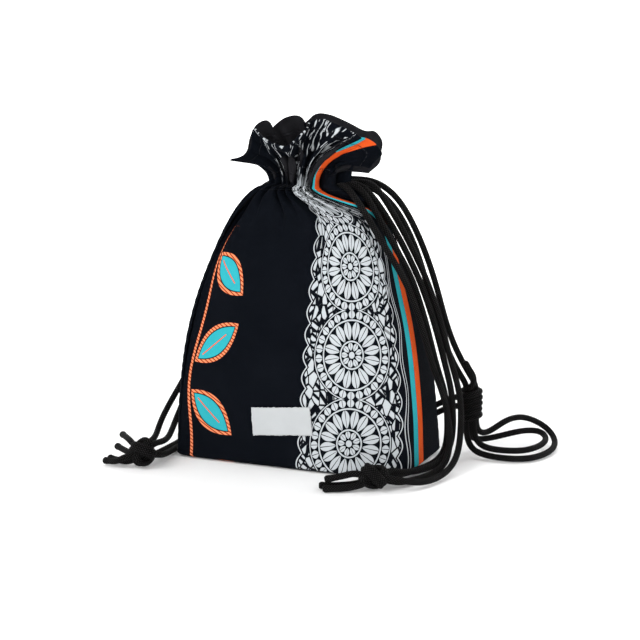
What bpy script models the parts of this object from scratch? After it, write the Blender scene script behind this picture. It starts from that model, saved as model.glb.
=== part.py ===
"""A kinchaku, a drawstring pouch of two cloth panels on a base, standing filled and drawn shut.

Metres, +Z up, front towards -Y. The origin is the centre of the flat bottom.
"""
import bpy
import bmesh
from math import asin, atan2, cos, exp, floor, pi, radians, sin
from mathutils import Matrix, Vector

# Filled bag
BAG_WIDTH = 0.1950
BAG_DEPTH = 0.1070
NECK_HEIGHT = 0.2190
NECK_WIDTH = 0.0700
NECK_DEPTH = 0.0430
SHOULDER_LEAN = -0.0022
BOTTOM_ROUND = 0.0040
CORNER_SHARP = 16.0
CORNER_SOFT = 3.6
SHOULDER_START = 1.75
SHOULDER_FALL = 0.60
CLOTH = 0.0015

# Gathers at the neck
PLEATS = 16
PLEAT_DEPTH = 0.0060
CORD_BAND = 0.0090
FOLD_REACH = 0.0225
FOLD_UNEVEN = 0.47
FOLD_TAPER = 1.3

# Ruffle above the neck: where its hem stands over the neck at each step from the left seam
# round the front, in lengths of the ruffle
RUFFLE_LENGTH = 0.0490
RUFFLE_RISE = 0.30
RUFFLE_REACH = 0.62
RUFFLE_LIFT = 0.10
PLEATS_END = 0.45
HEM_FOLDS = [
    (-0.66, -0.23, 0.28), (-0.47, -0.20, 0.40), (-0.53, -0.18, 0.78), (-0.36, -0.26, 0.62),
    (-0.16, -0.17, 0.66), (-0.25, 0.11, 0.94), (-0.12, 0.06, 1.04), (0.10, -0.05, 0.95),
    (0.29, -0.07, 0.83), (0.41, 0.02, 0.75), (0.48, 0.13, 0.61), (0.48, 0.17, 0.37),
    (0.41, 0.18, 0.13), (0.38, 0.30, 0.33), (0.29, 0.32, 0.60), (0.19, 0.25, 0.92),
    (0.15, -0.05, 0.88), (0.21, -0.21, 0.90), (0.02, -0.05, 0.92), (0.03, -0.21, 0.68),
    (0.06, -0.28, 0.84), (-0.11, -0.29, 0.81), (-0.30, -0.10, 0.63), (-0.52, -0.04, 0.41),
]

# Seams and fits
SEAM_GAP = 0.0006
FIT_GAP = 0.0003
SEAM_LEFT = radians(225)
SEAM_RIGHT = radians(405)

# Label
LABEL_WIDTH = 0.0520
LABEL_HEIGHT = 0.0225
LABEL_CLOTH = 0.0005
LABEL_X = -0.0005
LABEL_Z = 0.0415
LABEL_TILT = radians(6)
LABEL_COLUMNS = 8
LABEL_ROWS = 3

# Cords and knots
CORD = 0.0050
CORD_LEAD = 0.0050
CORD_SEAT_GAP = 0.0005
CORD_STEP = 3.2
CORD_TURN = radians(30)
KNOT_GROOVE = 0.06
KNOT_TURNS = 3
KNOT_SLANT = 2.6
KNOTS = {
    "knot_right": {"size": Vector((0.0210, 0.0190, 0.0190)),
                   "at": Vector((0.0850, -0.0770, 0.0098)), "turn": radians(20)},
    "knot_left": {"size": Vector((0.0180, 0.0170, 0.0200)),
                  "at": Vector((-0.1020, -0.0910, 0.0103)), "turn": radians(60)},
}
WRAP_AT = Vector((0.1210, 0.0510, 0.0415))
WRAP_WIDTH = 0.0190
WRAP_TURNS = 5
WRAP_GROOVE = 0.22
MM = 0.001

# Each cord: where it starts, the places it is led through in millimetres, where it ends
CORDS = {
    "cord_right_1": (("neck", 0),
                     [(45, -3, 215), (55, -5, 204), (69, -5, 180), (80, 4, 157), (88, 7, 137),
                      (97, 10, 106), (103, 11, 81), (109, 13, 62), (112, 13, 47), (114, 10, 28),
                      (114, 5, 14), (109, -3, 5), (102, -20, 3), (94, -44, 4)],
                     ("knot_right", 88, -20)),
    "cord_right_2": (("neck", 22.5),
                     [(42, 8, 217), (55, 5, 206), (71, 7, 182), (82, 11, 159), (91, 13, 139),
                      (101, 16, 108), (108, 17, 82), (115, 14, 61), (118, 10, 46), (120, 5, 30),
                      (119, 0, 16), (114, -9, 7), (108, -28, 5), (99, -52, 9)],
                     ("knot_right", 62, 8)),
    "cord_right_3": (("neck", -22.5),
                     [(41, -14, 213), (53, -18, 201), (69, -20, 177), (79, -7, 154), (87, -2, 135),
                      (96, 2, 105), (103, 3, 80), (111, 4, 60), (116, 1, 46), (120, -3, 29),
                      (121, -8, 15), (119, -18, 5), (113, -38, 3), (104, -60, 4)],
                     ("knot_right", 36, -20)),
    "cord_right_4": (("neck", 45),
                     [(34, 21, 220), (45, 18, 219), (57, 12, 211), (73, 15, 184), (84, 19, 161),
                      (94, 20, 140), (104, 22, 109), (111, 22, 84), (119, 18, 64), (124, 12, 48),
                      (126, 6, 30), (127, -3, 15), (126, -18, 6), (122, -43, 3), (114, -64, 5)],
                     ("knot_right", 8, -2)),
    "strap_upper_a": (("neck", 67.5),
                      [(18, 29, 218), (27, 31, 218), (38, 30, 216), (48, 28, 212), (58, 30, 203),
                       (67, 34, 189), (77, 38, 166), (85, 41, 139), (93, 43, 110), (101, 44, 88),
                       (110, 46, 69)],
                      ("wrap_top", -3.2, -2.2)),
    "strap_upper_b": (("neck", 90),
                      [(3, 32, 220), (12, 36, 221), (26, 37, 221), (40, 36, 220),
                       (53, 35, 214), (63, 37, 204), (72, 42, 187), (82, 46, 163),
                       (91, 48, 136), (98, 49, 110), (106, 50, 88),
                       (116, 52, 69)],
                      ("wrap_top", 3.2, 2.2)),
    "strap_loop_a": (("wrap_foot", -3.2, -3.2),
                     [(120, 43, 15), (127, 39, 7), (138, 36, 4), (150, 34, 3), (163, 34, 3),
                      (174, 43, 3), (181, 61, 3), (183, 82, 3), (180, 101, 5), (172, 110, 11),
                      (162, 104, 20), (152, 92, 26), (143, 80, 24), (135, 69, 16), (129, 61, 13),
                      (125, 56, 17)],
                     ("wrap_foot", 3.2, 3.2)),
    "strap_loop_b": (("wrap_foot", 3.2, -3.2),
                     [(127, 44, 15), (134, 42, 10), (143, 40, 8), (152, 39, 8), (162, 41, 8),
                      (170, 50, 8), (175, 65, 8), (176, 81, 8), (172, 94, 9), (165, 98, 12),
                      (156, 90, 14), (146, 82, 12), (134, 76, 8), (124, 69, 6), (119, 61, 8),
                      (118, 56, 14)],
                     ("wrap_foot", -3.2, 3.2)),
    "strap_link_a": (("wrap_side", 160, 3.4),
                     [(103, 59, 43), (92, 64, 38), (70, 67, 24), (40, 67, 12), (5, 66, 4),
                      (-40, 65, 3), (-80, 66, 3), (-102, 58, 3), (-110, 35, 3), (-111, 5, 3),
                      (-109, -25, 3), (-107, -50, 4), (-105, -70, 6)],
                     ("knot_left", 96, -14)),
    "strap_link_b": (("wrap_side", 170, -3.4),
                     [(104, 56, 36), (93, 60, 32), (71, 61, 18), (40, 61, 6), (5, 60, 3),
                      (-40, 59, 3), (-76, 60, 3), (-96, 54, 3), (-104, 34, 3), (-105, 5, 3),
                      (-103, -26, 3), (-100, -52, 4), (-96, -72, 7)],
                     ("knot_left", 60, -12)),
    "cord_left_1": (("neck", 157.5),
                    [(-44, 13, 215), (-57, 15, 204), (-68, 13, 182), (-82, 10, 150),
                     (-93, 5, 112), (-101, -1, 78), (-109, -10, 56), (-115, -20, 40),
                     (-119, -28, 27), (-118, -37, 17), (-114, -48, 12), (-110, -66, 13)],
                    ("knot_left", 126, 20)),
    "cord_left_2": (("neck", 135),
                    [(-33, 23, 215), (-46, 26, 203), (-62, 23, 184), (-81, 20, 152),
                     (-92, 15, 113), (-99, 9, 78), (-106, 1, 54), (-110, -8, 38),
                     (-112, -18, 25), (-110, -30, 15), (-105, -46, 11), (-101, -66, 14)],
                    ("knot_left", 84, 28)),
    "tail_right_1": (("knot_right", 228, -24), [(66, -91, 3), (56, -97, 3)], None),
    "tail_right_2": (("knot_right", 186, -24), [(64, -83, 3), (50, -90, 3)], None),
    "tail_right_3": (("knot_right", 206, 16), [(65, -87, 13), (56, -91, 10)], None),
    "tail_left_1": (("knot_left", 166, 36), [(-120, -82, 20), (-133, -70, 18)], None),
    "tail_left_2": (("knot_left", 168, -3), [(-123, -82, 9), (-136, -73, 9)], None),
    "tail_left_3": (("knot_left", 188, -28), [(-121, -90, 3), (-134, -87, 3)], None),
    "tail_left_4": (("knot_left", 214, 2), [(-119, -100, 8), (-126, -99, 4), (-132, -97, 4)], None),
    "hank_tail": (("wrap_top", 5.6, -4.8), [(124, 45, 64), (117, 43, 76)], None),
}

# Mesh density
PANEL_COLUMNS = 48
ROUND_ROWS = 2
WALL_ROWS = 11
WALL_CROWDING = 0.85
BAND_ROWS = 1
RUFFLE_ROWS = 7
CURVE_SPLIT = 24
NEAR = 0.01
ROUND_SIDES = 16


def clear_scene():
    for thing in list(bpy.data.objects):
        bpy.data.objects.remove(thing, do_unlink=True)


def material(name, colour, roughness, metallic=0.0):
    made = bpy.data.materials.new(name)
    made.use_nodes = True
    shader = made.node_tree.nodes["Principled BSDF"]
    shader.inputs["Base Color"].default_value = (*colour, 1.0)
    shader.inputs["Roughness"].default_value = roughness
    shader.inputs["Metallic"].default_value = metallic
    return made


def add_mesh(name, bm, finish, smooth=True):
    mesh = bpy.data.meshes.new(name)
    bm.to_mesh(mesh)
    bm.free()
    mesh.materials.append(finish)
    if smooth:
        mesh.shade_smooth()
    thing = bpy.data.objects.new(name, mesh)
    bpy.context.scene.collection.objects.link(thing)
    return thing


def mix(a, b, share):
    return a + (b - a) * share


def ease(share):
    share = min(max(share, 0.0), 1.0)
    return share * share * (3.0 - 2.0 * share)


def corner_power(angle, softness):
    """The seam corners stay sharp, and the two filled corners between them are round."""
    sharp = 0.5 + 0.5 * sin(2.0 * angle)
    return mix(mix(CORNER_SOFT, CORNER_SHARP, sharp), 2.0, softness)


def section(angle, half_width, half_depth, softness):
    power = corner_power(angle, softness)
    reach = (abs(cos(angle)) ** power + abs(sin(angle)) ** power) ** (-1.0 / power)
    return Vector((half_width * cos(angle) * reach, half_depth * sin(angle) * reach, 0.0))


def fill_share(z):
    """How full the bag is at a height: 1 on the floor, 0 where the cord draws it in."""
    drawn = min(max(z / NECK_HEIGHT, 0.0), 1.0)
    return (1.0 - drawn ** SHOULDER_START) ** SHOULDER_FALL


def wall_point(angle, z, inset=0.0):
    fill = fill_share(z)
    half_width = mix(NECK_WIDTH, BAG_WIDTH, fill) / 2 - inset
    half_depth = mix(NECK_DEPTH, BAG_DEPTH, fill) / 2 - inset
    point = section(angle, half_width, half_depth, 1.0 - fill)
    lean = SHOULDER_LEAN * sin(pi * min(z / NECK_HEIGHT, 1.0))
    return point + Vector((lean, 0.0, z))


def curve_through(a, b, c, d, t):
    """A place between b and c on the smooth curve through a, b, c and d."""
    return 0.5 * (2 * b + (c - a) * t + (2 * a - 5 * b + 4 * c - d) * t ** 2
                  + (3 * b - 3 * c + d - a) * t ** 3)


def hem_offset(angle):
    """How far the hem stands out from the neck and up, on a smooth ring through its folds."""
    step = (angle - SEAM_LEFT) / (2 * pi) * len(HEM_FOLDS)
    first = floor(step)
    near = [Vector(HEM_FOLDS[(first + k) % len(HEM_FOLDS)]) for k in (-1, 0, 1, 2)]
    return curve_through(*near, step - first) * RUFFLE_LENGTH


def ruffle_point(angle, share):
    """The cloth rises from the neck, turns outward and ends in the folds of the hem."""
    root = wall_point(angle, NECK_HEIGHT) + Vector((0.0, 0.0, CORD_BAND / 2))
    offset = hem_offset(angle)
    up = Vector((0.0, 0.0, offset.length))
    rise = up * RUFFLE_RISE
    turn = offset * RUFFLE_REACH + up * RUFFLE_LIFT
    left = 1.0 - share
    return root + rise * 3 * share * left ** 2 + turn * 3 * share ** 2 * left + offset * share ** 3


def smooth_point(angle, zone, share):
    """A point of the cloth before it is pleated, by zone of the panel, bottom to hem."""
    if zone == "wall":
        return wall_point(angle, mix(BOTTOM_ROUND, NECK_HEIGHT - CORD_BAND / 2, share))
    if zone == "band":
        return wall_point(angle, NECK_HEIGHT) + Vector((0.0, 0.0, CORD_BAND * (share - 0.5)))
    return ruffle_point(angle, share)


def out_of_cloth(angle, zone, share):
    """The direction that points out of the unpleated cloth."""
    across = smooth_point(angle + NEAR, zone, share) - smooth_point(angle - NEAR, zone, share)
    low, high = max(share - NEAR, 0.0), min(share + NEAR, 1.0)
    up = smooth_point(angle, zone, high) - smooth_point(angle, zone, low)
    return across.cross(up).normalized()


def pleat_height(angle, zone, share):
    """How far a pleat stands out of the cloth, or sinks into it."""
    pleats = PLEAT_DEPTH * cos(PLEATS * angle)
    if zone == "band":
        return pleats - PLEAT_DEPTH
    if zone == "wall":
        below = (1.0 - share) * NECK_HEIGHT
        reach = FOLD_REACH * (1.0 + FOLD_UNEVEN * cos(5.0 * angle + 0.7))
        return (pleats - PLEAT_DEPTH) * exp(-(below / reach) ** FOLD_TAPER)
    return (pleats - PLEAT_DEPTH) * (1.0 - ease(share / PLEATS_END))


def round_point(angle, share, depth):
    """The rounded edge between the base and the wall."""
    turn = share * pi / 2
    inner = wall_point(angle, BOTTOM_ROUND, BOTTOM_ROUND)
    outer = wall_point(angle, BOTTOM_ROUND)
    outward = (outer - inner) * (1.0 - depth / BOTTOM_ROUND)
    drop = Vector((0.0, 0.0, -(BOTTOM_ROUND - depth) * cos(turn)))
    return inner + outward * sin(turn) + drop


def cloth_point(angle, zone, share, depth, edge):
    """A point of a panel: depth goes into the cloth, edge is -1 or 1 along a side seam."""
    if zone == "round":
        point = round_point(angle, share, depth)
    else:
        lift = pleat_height(angle, zone, share) - depth
        point = smooth_point(angle, zone, share) + out_of_cloth(angle, zone, share) * lift
    if edge:
        level, height = (zone, share) if zone in ("band", "ruffle") else ("wall", 0.0)
        along = smooth_point(angle + NEAR, level, height) - smooth_point(angle - NEAR, level, height)
        point = point - along.normalized() * edge * SEAM_GAP / 2
    return point


def panel_rows():
    """Each row of a panel as its zone and its share of that zone, base seam to hem."""
    rows = [("round", k / ROUND_ROWS) for k in range(ROUND_ROWS)]
    rows += [("wall", (k / WALL_ROWS) ** WALL_CROWDING) for k in range(WALL_ROWS)]
    rows += [("band", k / BAND_ROWS) for k in range(BAND_ROWS)]
    rows += [("ruffle", k / RUFFLE_ROWS) for k in range(RUFFLE_ROWS + 1)]
    return rows


def build_base(finish):
    """The flat base, sewn in between the rounded edges of the two panels."""
    bm = bmesh.new()
    bmesh.ops.create_circle(bm, cap_ends=True, segments=2 * PANEL_COLUMNS, radius=1.0)
    for vert in bm.verts:
        angle = atan2(vert.co.y, vert.co.x)
        vert.co = wall_point(angle, BOTTOM_ROUND, BOTTOM_ROUND + FIT_GAP)
        vert.co.z = 0.0
    grown = bmesh.ops.extrude_face_region(bm, geom=bm.faces[:], use_keep_orig=True)["geom"]
    raised = [item for item in grown if isinstance(item, bmesh.types.BMVert)]
    bmesh.ops.translate(bm, verts=raised, vec=(0.0, 0.0, CLOTH))
    bmesh.ops.recalc_face_normals(bm, faces=bm.faces)
    return add_mesh("base_panel", bm, finish, smooth=False)


def build_panel(name, start, finish):
    """One cloth panel: a strip of its thickness, drawn up row by row from the base seam."""
    bm = bmesh.new()
    column_tag = bm.verts.layers.int.new("column")
    depth_tag = bm.verts.layers.int.new("depth")

    def place(verts, zone, share):
        for vert in verts:
            column = vert[column_tag]
            edge = {0: -1, PANEL_COLUMNS: 1}.get(column, 0)
            angle = start + pi * column / PANEL_COLUMNS
            vert.co = cloth_point(angle, zone, share, CLOTH * vert[depth_tag], edge)

    outer, inner = [], []
    for column in range(PANEL_COLUMNS + 1):
        for line, depth in ((outer, 0), (inner, 1)):
            vert = bm.verts.new()
            vert[column_tag] = column
            vert[depth_tag] = depth
            line.append(vert)
    strip = [bm.faces.new((outer[k], inner[k], inner[k + 1], outer[k + 1])) for k in range(PANEL_COLUMNS)]
    first, *rest = panel_rows()
    place(bm.verts, *first)
    spent = []
    for zone, share in rest:
        grown = bmesh.ops.extrude_face_region(bm, geom=strip)["geom"]
        bmesh.ops.delete(bm, geom=spent, context="FACES_ONLY")
        strip = [item for item in grown if isinstance(item, bmesh.types.BMFace)]
        spent = strip
        place([item for item in grown if isinstance(item, bmesh.types.BMVert)], zone, share)
    bmesh.ops.recalc_face_normals(bm, faces=bm.faces)
    return add_mesh(name, bm, finish)


def front_angle(x, z):
    """The angle at which the front wall passes a place across the bag."""
    low, high = SEAM_LEFT, SEAM_LEFT + pi / 2
    for _ in range(CURVE_SPLIT):
        middle = (low + high) / 2
        if wall_point(middle, z).x < x:
            low = middle
        else:
            high = middle
    return (low + high) / 2


def build_label(finish):
    """A woven label, laid on the front wall and following its curve."""
    bm = bmesh.new()
    bmesh.ops.create_grid(bm, x_segments=LABEL_COLUMNS, y_segments=LABEL_ROWS, size=0.5)
    for vert in bm.verts:
        across, up = vert.co.x * LABEL_WIDTH, vert.co.y * LABEL_HEIGHT
        x = LABEL_X + across * cos(LABEL_TILT) - up * sin(LABEL_TILT)
        z = LABEL_Z + across * sin(LABEL_TILT) + up * cos(LABEL_TILT)
        wall_share = (z - BOTTOM_ROUND) / (NECK_HEIGHT - CORD_BAND / 2 - BOTTOM_ROUND)
        angle = front_angle(x, z)
        outward = out_of_cloth(angle, "wall", wall_share)
        vert.co = wall_point(angle, z) + outward * FIT_GAP
    bmesh.ops.recalc_face_normals(bm, faces=bm.faces)
    if bm.faces[0].normal.y > 0:
        bmesh.ops.reverse_faces(bm, faces=bm.faces)
    label = add_mesh("label", bm, finish, smooth=False)
    backing = label.modifiers.new("weave", "SOLIDIFY")
    backing.thickness = LABEL_CLOTH
    backing.offset = 1.0
    return label


def smooth_route(points):
    """Points along a smooth curve, closer where it turns, and a straight stub at each end."""
    fine = []
    for near in zip(points, points[1:], points[2:], points[3:]):
        fine += [curve_through(*near, k / CURVE_SPLIT) for k in range(CURVE_SPLIT)]
    fine.append(points[-2])
    route, walked, heading = [points[0], fine[0]], 0.0, fine[0] - points[0]
    for near, far in zip(fine, fine[1:]):
        walked += (far - near).length
        turned = heading.angle(far - near)
        if walked > CORD_STEP * CORD or (turned > CORD_TURN and walked > CORD):
            route.append(far)
            walked, heading = 0.0, far - near
    if (route[-1] - points[-2]).length < CORD and len(route) > 3:
        route.pop()
    return [*route, points[-2], points[-1]]


def build_cord(name, points, finish):
    curve = bpy.data.curves.new(name, "CURVE")
    curve.dimensions = "3D"
    curve.bevel_depth = CORD / 2
    curve.bevel_resolution = 2
    curve.use_fill_caps = True
    route = smooth_route(points)
    line = curve.splines.new("POLY")
    line.points.add(len(route) - 1)
    for place, point in zip(line.points, route):
        place.co = (*point, 1.0)
    curve.materials.append(finish)
    thing = bpy.data.objects.new(name, curve)
    bpy.context.scene.collection.objects.link(thing)
    return thing


def knot_radius(way, size):
    """A knot's surface, from its centre, for a way out given before the knot is stretched."""
    around = atan2(way.y, way.x)
    up = asin(max(-1.0, min(1.0, way.z)))
    groove = (1.0 + cos(KNOT_TURNS * around + KNOT_SLANT * up)) / 2 * cos(up)
    return way * size / 2 * (1.0 - KNOT_GROOVE * groove)


def build_knot(name, size, at, turn, finish):
    """An overhand knot, drawn tight: a ball with the cord's turns standing out of it."""
    bm = bmesh.new()
    bmesh.ops.create_uvsphere(bm, u_segments=ROUND_SIDES, v_segments=9, radius=1.0)
    for vert in bm.verts:
        vert.co = knot_radius(vert.co, size)
    bmesh.ops.rotate(bm, verts=bm.verts, matrix=Matrix.Rotation(turn, 3, "Z"))
    bmesh.ops.translate(bm, verts=bm.verts, vec=at)
    return add_mesh(name, bm, finish)


def build_wrap(finish):
    """Tight turns of the cord around the folded strap, one above the other."""
    bm = bmesh.new()
    half = WRAP_TURNS * CORD / 2
    points = [(0.0, -half)]
    for turn in range(WRAP_TURNS):
        for k in range(1, 5):
            bulge = pi * (k - 1) / 3
            radius = WRAP_WIDTH / 2 - CORD * WRAP_GROOVE * (1.0 - sin(bulge))
            points.append((radius, -half + CORD * (turn + (1.0 - cos(bulge)) / 2)))
    points.append((0.0, half))
    verts = [bm.verts.new((radius, 0.0, z)) for radius, z in points]
    edges = [bm.edges.new(pair) for pair in zip(verts, verts[1:])]
    bmesh.ops.spin(bm, geom=verts + edges, cent=(0, 0, 0), axis=(0, 0, 1), angle=2 * pi,
                   steps=ROUND_SIDES, use_merge=True)
    bmesh.ops.remove_doubles(bm, verts=bm.verts, dist=0.00001)
    bmesh.ops.recalc_face_normals(bm, faces=bm.faces)
    bmesh.ops.translate(bm, verts=bm.verts, vec=WRAP_AT)
    return add_mesh("hank_wrap", bm, finish)


def knot_face(size, at, turn, heading, height):
    """A place on a knot and the way out of it: heading round the knot, height up it."""
    heading, height = radians(heading), radians(height)
    out = Vector((cos(height) * cos(heading), cos(height) * sin(heading), sin(height)))
    inside = Matrix.Rotation(-turn, 3, "Z") @ out
    way = Vector(part / full for part, full in zip(inside, size)).normalized()
    return at + out * knot_radius(way, size).length, out


def cord_seat(kind, *where):
    """Where a cord meets its knot, the neck's channel or the wrapped turns, and the way out."""
    if kind in KNOTS:
        return knot_face(**KNOTS[kind], heading=where[0], height=where[1])
    if kind == "neck":
        angle = radians(where[0])
        return wall_point(angle, NECK_HEIGHT), out_of_cloth(angle, "band", 0.5)
    if kind == "wrap_side":
        heading = radians(where[0])
        out = Vector((cos(heading), sin(heading), 0.0))
        return WRAP_AT + out * WRAP_WIDTH / 2 + Vector((0.0, 0.0, where[1] * MM)), out
    out = Vector((0.0, 0.0, -1.0 if kind == "wrap_foot" else 1.0))
    face = WRAP_TURNS * CORD / 2
    return WRAP_AT + Vector((where[0] * MM, where[1] * MM, 0.0)) + out * face, out


def seat_points(seat):
    place, out = cord_seat(*seat)
    return [place + out * CORD_SEAT_GAP, place + out * (CORD_SEAT_GAP + CORD_LEAD)]


def cut_end(points):
    """The last stretch of a cord that ends free, cut square."""
    stretch = (points[-1] - points[-2]).normalized() * CORD_LEAD
    return [points[-1] + stretch]


def build_cords(finish):
    for name, (start, places, end) in CORDS.items():
        route = seat_points(start) + [Vector(place) * MM for place in places]
        route += reversed(seat_points(end)) if end else cut_end(route)
        build_cord(name, route, finish)


clear_scene()
PRINTED_CLOTH = material("printed_cloth", (0.012, 0.013, 0.018), 0.62)
LABEL_TAPE = material("label_tape", (0.72, 0.74, 0.75), 0.80)
CORD_BRAID = material("cord_braid", (0.014, 0.014, 0.015), 0.70)

build_panel("front_panel", SEAM_LEFT, PRINTED_CLOTH)
build_panel("back_panel", SEAM_RIGHT, PRINTED_CLOTH)
build_base(PRINTED_CLOTH)
build_label(LABEL_TAPE)
for knot, facts in KNOTS.items():
    build_knot(knot, **facts, finish=CORD_BRAID)
build_wrap(CORD_BRAID)
build_cords(CORD_BRAID)
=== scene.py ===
"""A kinchaku, a drawstring pouch of printed cloth, standing filled, with its cords about it.

Lengths are in metres, except in the lists of places, which are in millimetres.
"""
import math

import bmesh
import bpy
import numpy as np
from mathutils import Matrix, Vector, noise


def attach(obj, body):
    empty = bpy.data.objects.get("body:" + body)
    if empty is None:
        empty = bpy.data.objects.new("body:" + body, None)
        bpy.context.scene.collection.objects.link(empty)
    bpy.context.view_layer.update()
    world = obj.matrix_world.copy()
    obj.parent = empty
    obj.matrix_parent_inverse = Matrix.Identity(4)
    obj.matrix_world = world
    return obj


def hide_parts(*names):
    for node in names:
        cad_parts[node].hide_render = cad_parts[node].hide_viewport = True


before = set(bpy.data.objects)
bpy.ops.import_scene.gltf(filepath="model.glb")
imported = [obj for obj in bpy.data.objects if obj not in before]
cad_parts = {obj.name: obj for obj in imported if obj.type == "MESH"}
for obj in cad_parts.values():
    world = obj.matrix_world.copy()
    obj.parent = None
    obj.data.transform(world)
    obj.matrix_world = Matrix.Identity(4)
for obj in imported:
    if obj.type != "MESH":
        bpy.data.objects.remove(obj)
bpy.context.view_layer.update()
scene = bpy.context.scene


# Camera. It stands to the right of the pouch's front and a little above its neck, a metre
# away, so that the front and the right side both show.
camera = bpy.data.cameras.new("camera")
camera.sensor_width = 36.0
camera.lens = 73.8
camera.clip_start = 0.05
stand = bpy.data.objects.new("camera", camera)
stand.location = (0.4138, -0.9528, 0.2835)
looked_at = Vector((0.0091, 0.0005, 0.1102))
stand.rotation_euler = (looked_at - stand.location).to_track_quat("-Z", "Y").to_euler()
scene.collection.objects.link(stand)
scene.camera = stand


# Cords. Round 5 mm polyester braid, limp, with eight strands each way. Drawcords leave the
# gathers at the neck for the two knots, and two longer strands make the carrying strap.
CORD = 0.0050
CORD_STEP = 0.0022
CORD_EASE = 90
BRAID_STRANDS = 8
BRAID_TURN = 0.0165
BRAID_RELIEF = 0.0006
TUBE_SIDES = 16
CURVE_STEPS = 16
# Braid colours: black for the gaps between threads, which is painted shade, and grey for the thread tops,
# which is a painted highlight that rubbed patches strengthen.
BRAID_BLACK = (0.0012, 0.0012, 0.0013)
BRAID_HIGHLIGHT_AND_WEAR = (0.062, 0.060, 0.060)

# The places that each cord passes, in millimetres, as the part's own routes have them.
ROUTES = {
    "right_cord_1": [
        (28, 0, 218), (35.5, 0, 219), (44, -2, 216), (55, -5, 204), (69, -5, 180), (80, 4, 157),
        (88, 7, 137), (97, 10, 106), (103, 11, 81), (109, 13, 62), (112, 13, 47), (114, 10, 28),
        (114, 5, 14), (109, -3, 5), (102, -20, 3.2), (94, -44, 3.5), (86.5, -60, 5), (85, -68, 8)],
    "right_cord_2": [
        (26, 6, 218), (33, 8.5, 219), (42, 9, 217), (55, 5, 206), (71, 7, 182), (82, 11, 159),
        (91, 13, 139), (101, 16, 108), (108, 17, 82), (115, 14, 61), (118, 10, 46), (120, 5, 30),
        (119, 0, 16), (114, -9, 7), (108, -28, 5), (99, -52, 8), (92.5, -63, 11.5), (88, -70, 11)],
    "right_cord_3": [
        (26, -6, 217), (32.8, -8.5, 219), (41, -14, 214), (53, -18, 201), (69, -20, 177),
        (79, -7, 154), (87, -2, 135), (96, 2, 105), (103, 3, 80), (111, 4, 60), (116, 1, 46),
        (120, -3, 29), (121, -8, 15), (119, -18, 5), (113, -38, 3.2), (104, -58, 3.2), (97, -68, 5),
        (90, -73, 8)],
    "right_cord_4": [
        (19, 11, 218), (25, 15.6, 219), (34, 20, 220), (45, 18, 219), (57, 12, 211), (73, 15, 184),
        (84, 19, 161), (94, 20, 140), (104, 22, 109), (111, 22, 84), (119, 18, 64), (124, 12, 48),
        (126, 6, 30), (127, -3, 15), (126, -18, 6), (122, -43, 3.2), (114, -64, 5), (101, -74, 9),
        (91, -76, 10)],
    "strap_strand_a": [
        (10, 15, 218), (13.5, 20.3, 219), (18, 29, 218), (27, 31, 218), (38, 30, 216), (48, 28, 212),
        (58, 30, 203), (67, 34, 189), (77, 38, 166), (85, 41, 139), (93, 43, 110), (101, 44, 88),
        (110, 46, 69), (117, 48, 58), (117.8, 48.6, 50), (117.8, 48.2, 40), (117.8, 47.8, 29),
        (118.5, 46.5, 20), (121.5, 42.5, 11), (128, 38.5, 5.5), (138, 36, 3.4), (150, 34.5, 3),
        (163, 36, 3), (174, 44, 3), (181, 61, 3), (183, 82, 3.5), (179, 100, 6), (171, 108, 12),
        (161, 103, 19), (152, 92, 24), (143, 80, 23), (135, 69, 17), (129, 61.5, 14.5),
        (125, 56, 18.5), (124.2, 54.2, 27), (124.2, 54.2, 36)],
    "strap_strand_b": [
        (0, 16, 218), (0, 22, 219), (2, 31, 220), (12, 36, 221), (26, 37, 221), (40, 36, 220),
        (53, 35, 214), (63, 37, 204), (72, 42, 187), (82, 46, 163), (91, 48, 136), (98, 49, 110),
        (106, 50, 88), (116, 52, 69), (123, 53, 58), (124.2, 53, 50), (124.2, 50, 40),
        (124.2, 47.8, 29), (125, 46, 20), (128.5, 43, 12.5), (135, 41, 9), (143, 40, 8),
        (152, 39.5, 8), (162, 42, 8), (170, 50, 8), (175, 65, 8), (176, 81, 8.5), (172, 94, 10),
        (165, 97, 12), (156, 90, 13), (146, 82, 11.5), (134, 75, 8.5), (124.5, 68, 7.5),
        (119.2, 61, 10), (117.8, 56, 17), (117.8, 54.2, 27), (117.8, 54.2, 36)],
    "link_strand_a": [
        (117, 52.5, 44.5), (111.6, 54.4, 44.9), (103, 59, 43), (92, 64, 37), (70, 67, 24),
        (40, 67, 12), (5, 66, 5), (-40, 65, 3), (-80, 65, 3), (-101, 57, 3), (-109.5, 35, 3),
        (-111, 5, 3), (-109, -25, 3), (-107, -50, 3.6), (-104.5, -70, 5), (-103, -80, 7.5),
        (-102, -86, 9.5)],
    "link_strand_b": [
        (117, 51.5, 38), (111.2, 52.7, 38.1), (104, 56, 36), (93, 60, 31), (71, 61, 18), (40, 61, 7),
        (5, 60, 3), (-40, 59, 3), (-76, 58.5, 3), (-95, 53, 3), (-103.5, 34, 3), (-105, 5, 3),
        (-103, -26, 3), (-100, -52, 3.6), (-96.5, -70, 5.5), (-96.5, -80, 8), (-99.5, -87, 9.5)],
    "left_cord_1": [
        (-26, 6, 218), (-32.8, 8.5, 219), (-44, 13, 216), (-57, 15, 204), (-69, 13, 182),
        (-82, 10, 150), (-93, 5, 112), (-101, -1, 78), (-109, -10, 56), (-115, -20, 40),
        (-119, -29, 27), (-119, -38, 18), (-116, -48, 13.5), (-111.5, -64, 13.5), (-109, -78, 14.5),
        (-105.5, -86, 12.5)],
    "left_cord_2": [
        (-19, 11, 218), (-25, 15.6, 219), (-34, 23, 216), (-46, 26, 203), (-62, 23, 184),
        (-81, 20, 152), (-92, 15, 113), (-99, 9, 78), (-106, 1, 54), (-110, -8, 38), (-112, -18, 25),
        (-110.5, -30, 16), (-106, -46, 12), (-102, -64, 14), (-100.5, -76, 16), (-101.5, -85, 13.5)],
}


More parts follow.
